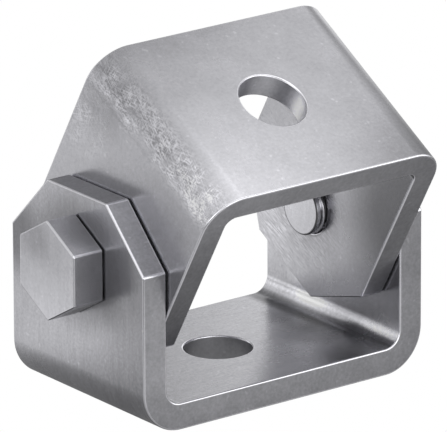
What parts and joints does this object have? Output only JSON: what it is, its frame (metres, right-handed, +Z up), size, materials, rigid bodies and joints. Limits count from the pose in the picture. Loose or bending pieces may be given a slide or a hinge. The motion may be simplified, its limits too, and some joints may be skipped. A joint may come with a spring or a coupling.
{
  "type": "universal hinge bracket",
  "caption": "Steel hinge bracket: a swivel yoke tilts inside a base yoke on hexagon pivot screws, and each yoke has a round fixing hole.",
  "frame": {"origin": "centre of the base yoke's fixing hole, at the base's flat underside", "axes": "+X along the hinge axis towards the right-hand screw, +Z up out of the base, -Y towards the viewer; the swivel is stored tilted 30 degrees towards -Y"},
  "size_m": [0.0606, 0.0425, 0.0525],
  "materials": {
    "plated_steel": "zinc plated, lightly brushed",
    "screw_steel": "zinc plated, smooth"
  },
  "bodies": {
    "base": {"base_yoke": "plated_steel"},
    "swivel": {"swivel_yoke": "plated_steel"},
    "left_screw": {"left_pivot_screw": "screw_steel"},
    "right_screw": {"right_pivot_screw": "screw_steel"}
  },
  "joints": [
    {"name": "swivel_tilt", "type": "hinge", "parent": "base", "child": "swivel", "pos_m": [0, 0, 0.022], "axis": [1, 0, 0], "range_deg": [-120, 60]},
    {"name": "left_screw_turn", "type": "hinge", "parent": "swivel", "child": "left_screw", "pos_m": [-0.025, 0, 0.022], "axis": [-1, 0, 0], "range_deg": [0, 90]},
    {"name": "right_screw_turn", "type": "hinge", "parent": "swivel", "child": "right_screw", "pos_m": [0.025, 0, 0.022], "axis": [1, 0, 0], "range_deg": [0, 90]}
  ]
}
